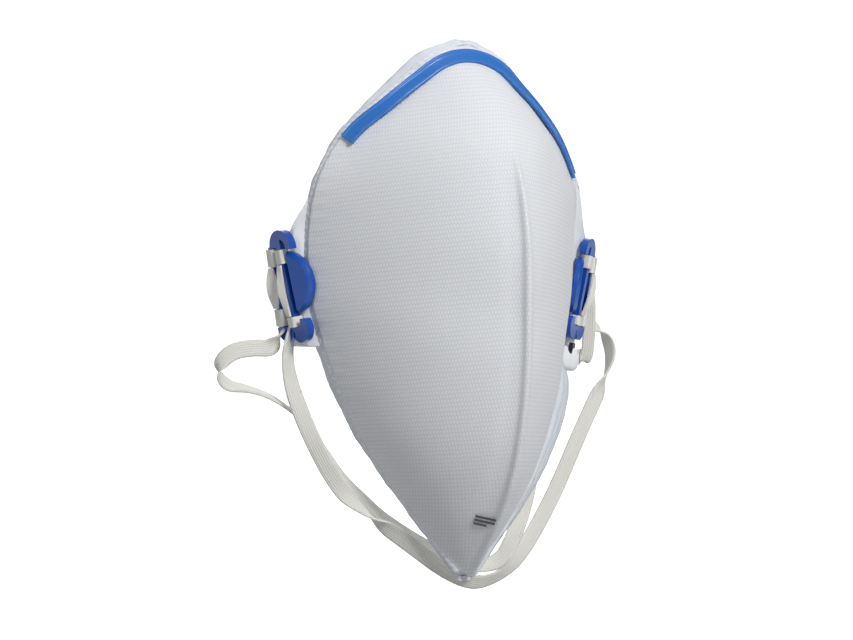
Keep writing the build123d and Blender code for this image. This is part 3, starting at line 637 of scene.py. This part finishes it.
def wing_plane(side, x, z):
    """A point on the plane behind the buckle: x forwards along the cheek."""
    up = unit(np.array([side * math.tan(math.radians(SPREAD)), -math.tan(math.radians(NOD)), 1.0]))
    a = math.radians(HOLD_AZ[side])
    n = np.array([side * math.sin(a), -math.cos(a), 0])
    n = unit(n - up * np.dot(n, up))
    f = np.cross(n, up) * side
    o = np.array(HOLD[side]) + n * -3.0 + f * x
    return o + up * ((z - o[2]) / up[2])


def wing_row(side, z, root):
    """One level row of a wing, from its root at the edge weld to its free edge."""
    top = WING_TOP[side]
    fold = wing_plane(side, 2.0, z)
    if z > top[-1, 0]:
        _, across, depth = spline(top, np.interp(-z, -top[:, 0], np.arange(len(top))))
        end = np.array([across, depth, z])
        mid = 0.5 * (root + end) + np.array([side * 0.3, 0.2, 0])
        w = smooth(z, top[-1, 0], top[-1, 0] + 6)
        mid = mid * w + fold * (1 - w)
    else:
        end = wing_plane(side, WING_BACK[side], z)
        mid = fold
    q = np.linspace(0, 1, 21)[:, None]
    curved = (1 - q) ** 2 * root + 2 * q * (1 - q) * (2 * mid - 0.5 * (root + end)) + q * q * end
    straight = np.where(q < 0.5, root + (mid - root) * q * 2, mid + (end - mid) * (q * 2 - 1))
    return 0.35 * curved + 0.65 * straight


def wing(side, word):
    """The smooth tab that carries the buckle."""
    s = np.linspace(1, LAST - 1, 1500)
    seam = surf(s, np.ones_like(s), side)
    rows = []
    for z in np.linspace(WING_TOP[side][0, 0], WING_LOW[side], 70):
        root = seam[int(np.argmin(np.abs(seam[:, 2] - z)))] + np.array([side * -0.3, 1.7, 0])
        rows.append(wing_row(side, z, root))
    g = np.array(rows)
    for _ in range(3):
        g[1:-1] = 0.25 * g[:-2] + 0.5 * g[1:-1] + 0.25 * g[2:]
    n = -normals(g)
    if np.mean(n[..., 0]) * side < 0:
        n = -n
    ob = slab(word + "_wing_tab", g + n * 0.3, g - n * 0.5, WING)
    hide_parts(word + "_side_wing")
    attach(ob, word + "_half")


def wing_roll():
    """The right wing's rolled lower end, a rounded lump squarer across than a ball."""
    middle = np.array([58.4, 19.4, -18.6])
    across = unit(np.array([0.80, -0.46, -0.30])) * 5.2
    deep = unit(np.array([0.5, 0.866, 0.0])) * 3.0
    up = unit(np.array([0.22, -0.13, 1.0])) * 4.9
    ph = np.linspace(0, 2 * np.pi, 32, endpoint=False)[:, None]
    ring = across * square_off(np.cos(ph), 0.8) + deep * np.sin(ph)
    rings = []
    for a in np.linspace(0.02, np.pi - 0.02, 26):
        wide = math.sin(a) ** 0.7 * (1 - 0.12 * math.cos(a))
        rings.append(middle + up * square_off(math.cos(a), 0.75) + ring * wide)
    ob = loft("wing_roll", np.stack(rings), WING)
    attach(ob, "right_half")


for side, word in SIDES:
    wing(side, word)
wing_roll()

# ------------------------------------------------------------ pieces kept from the CAD model
CAD_LOOKS = (("buckle", BLUE), ("strap_turn", PLAIN_STRAP), ("strap_run", PLAIN_STRAP),
             ("strap_end_crimp", BLACK))
for name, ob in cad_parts.items():
    for part, mat in CAD_LOOKS:
        if part in name:
            ob.data.materials.clear()
            ob.data.materials.append(mat)

# the chin patch and the printed bars bend with the fabric they sit on
for node, name, mat in (("chin_tab", "chin_patch", WELD), ("printed_bars", "mark_bars", INK)):
    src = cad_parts[node]
    ob = bpy.data.objects.new(name, src.data.copy())
    ob.data.transform(src.matrix_world)
    ob.data.materials.clear()
    ob.data.materials.append(mat)
    bpy.context.scene.collection.objects.link(ob)
    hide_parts(node)
    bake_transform(ob)

# ------------------------------------------------------------ floor, light, camera
# the floor lies a little below the mask and meets the backdrop behind it
FLOOR_Z, WALL_Y, FAR = -112, 1500, 3000
PALE = material("pale", (0.93, 0.93, 0.94), 0.9, Emission_Strength=0.9, Emission_Color=(1, 1, 1, 1))


def sheet(name, corners):
    """A flat pale sheet that gives the mask no light of its own."""
    ob = new_mesh(name, corners, [(0, 1, 2, 3)], PALE, flat=True)
    ob.visible_diffuse = False
    return ob


floor = sheet("floor", [(-FAR, -FAR, FLOOR_Z), (FAR, -FAR, FLOOR_Z),
                        (FAR, WALL_Y, FLOOR_Z), (-FAR, WALL_Y, FLOOR_Z)])
wall = sheet("backdrop", [(-FAR, WALL_Y, FLOOR_Z), (FAR, WALL_Y, FLOOR_Z),
                          (FAR, WALL_Y, FAR), (-FAR, WALL_Y, FAR)])

world = bpy.context.scene.world or bpy.data.worlds.new("world")
bpy.context.scene.world = world
world.use_nodes = True
bg = world.node_tree.nodes["Background"]
bg.inputs["Color"].default_value = (0.96, 0.98, 1.0, 1)
bg.inputs["Strength"].default_value = 0.27


def aim(ob, place):
    """Puts an object at a place in metres, looking at the mask's middle."""
    ob.location = place
    ob.rotation_euler = (-Vector(place)).to_track_quat("-Z", "Y").to_euler()
    bpy.context.scene.collection.objects.link(ob)


def lamp(name, place, size, power, colour=(1, 1, 1)):
    li = bpy.data.lights.new(name, "AREA")
    li.shape = "SQUARE"
    li.size = size
    li.energy = power
    li.color = colour
    aim(bpy.data.objects.new(name, li), place)


lamp("key", (0.08, -1.15, 0.72), 0.40, 12.5)
lamp("fill", (-1.1, -0.7, 0.5), 0.9, 1.4, (0.96, 0.98, 1.0))
lamp("top", (0.0, 0.2, 1.2), 0.9, 1.8)
lamp("behind", (0.5, 1.0, 0.6), 0.8, 7)
bpy.context.scene.view_settings.view_transform = "Standard"

# the camera stands left of the front, level with the mask's middle
AZ = math.radians(-30.0)
DIST = 0.58
SENSOR = 36
VIEW_W = 0.3156             # metres across the picture at the mask
cam = bpy.data.cameras.new("camera")
cam.sensor_width = SENSOR
cam.lens = SENSOR * DIST / VIEW_W
cam.shift_x = -0.044
cam.shift_y = -0.0106
camera = bpy.data.objects.new("camera", cam)
aim(camera, (math.sin(AZ) * DIST, -math.cos(AZ) * DIST, 0))
bpy.context.scene.camera = camera
